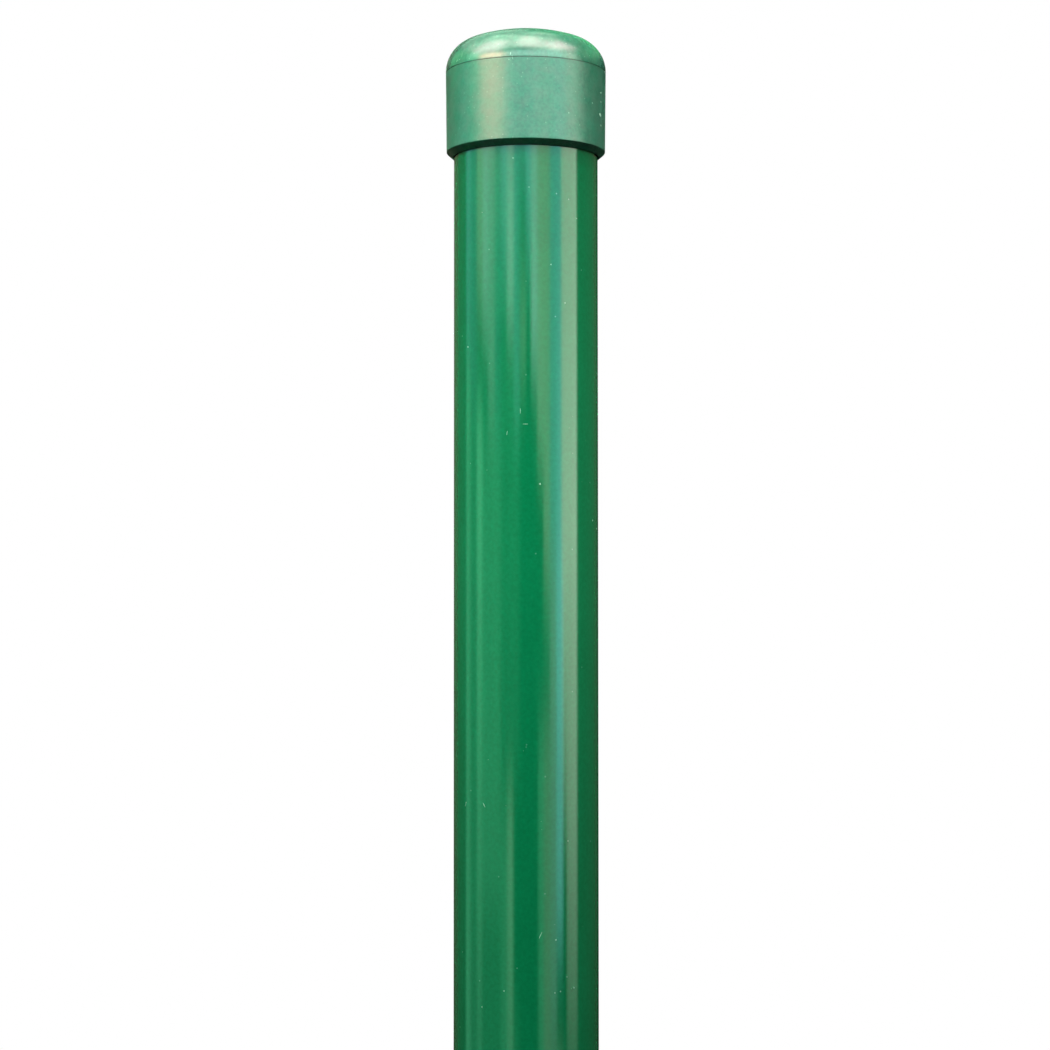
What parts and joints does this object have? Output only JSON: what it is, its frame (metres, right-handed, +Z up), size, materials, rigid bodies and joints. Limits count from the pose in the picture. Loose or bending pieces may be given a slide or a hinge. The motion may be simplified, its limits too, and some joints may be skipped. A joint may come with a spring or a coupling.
{
  "type": "fence post",
  "caption": "Tall round green coated steel tube fence post with a domed push-on cap and an open foot for the ground or a base spigot.",
  "frame": {"origin": "centre of the tube's foot, on the plane of its cut end", "axes": "+Z up along the post's axis, towards the cap; -Y is the side that the picture shows"},
  "size_m": [0.0424, 0.0424, 1.5116],
  "materials": {
    "green_coating": "gloss",
    "green_plastic": "satin"
  },
  "bodies": {
    "root": {"post_tube": "green_coating", "post_cap": "green_plastic"}
  },
  "joints": []
}
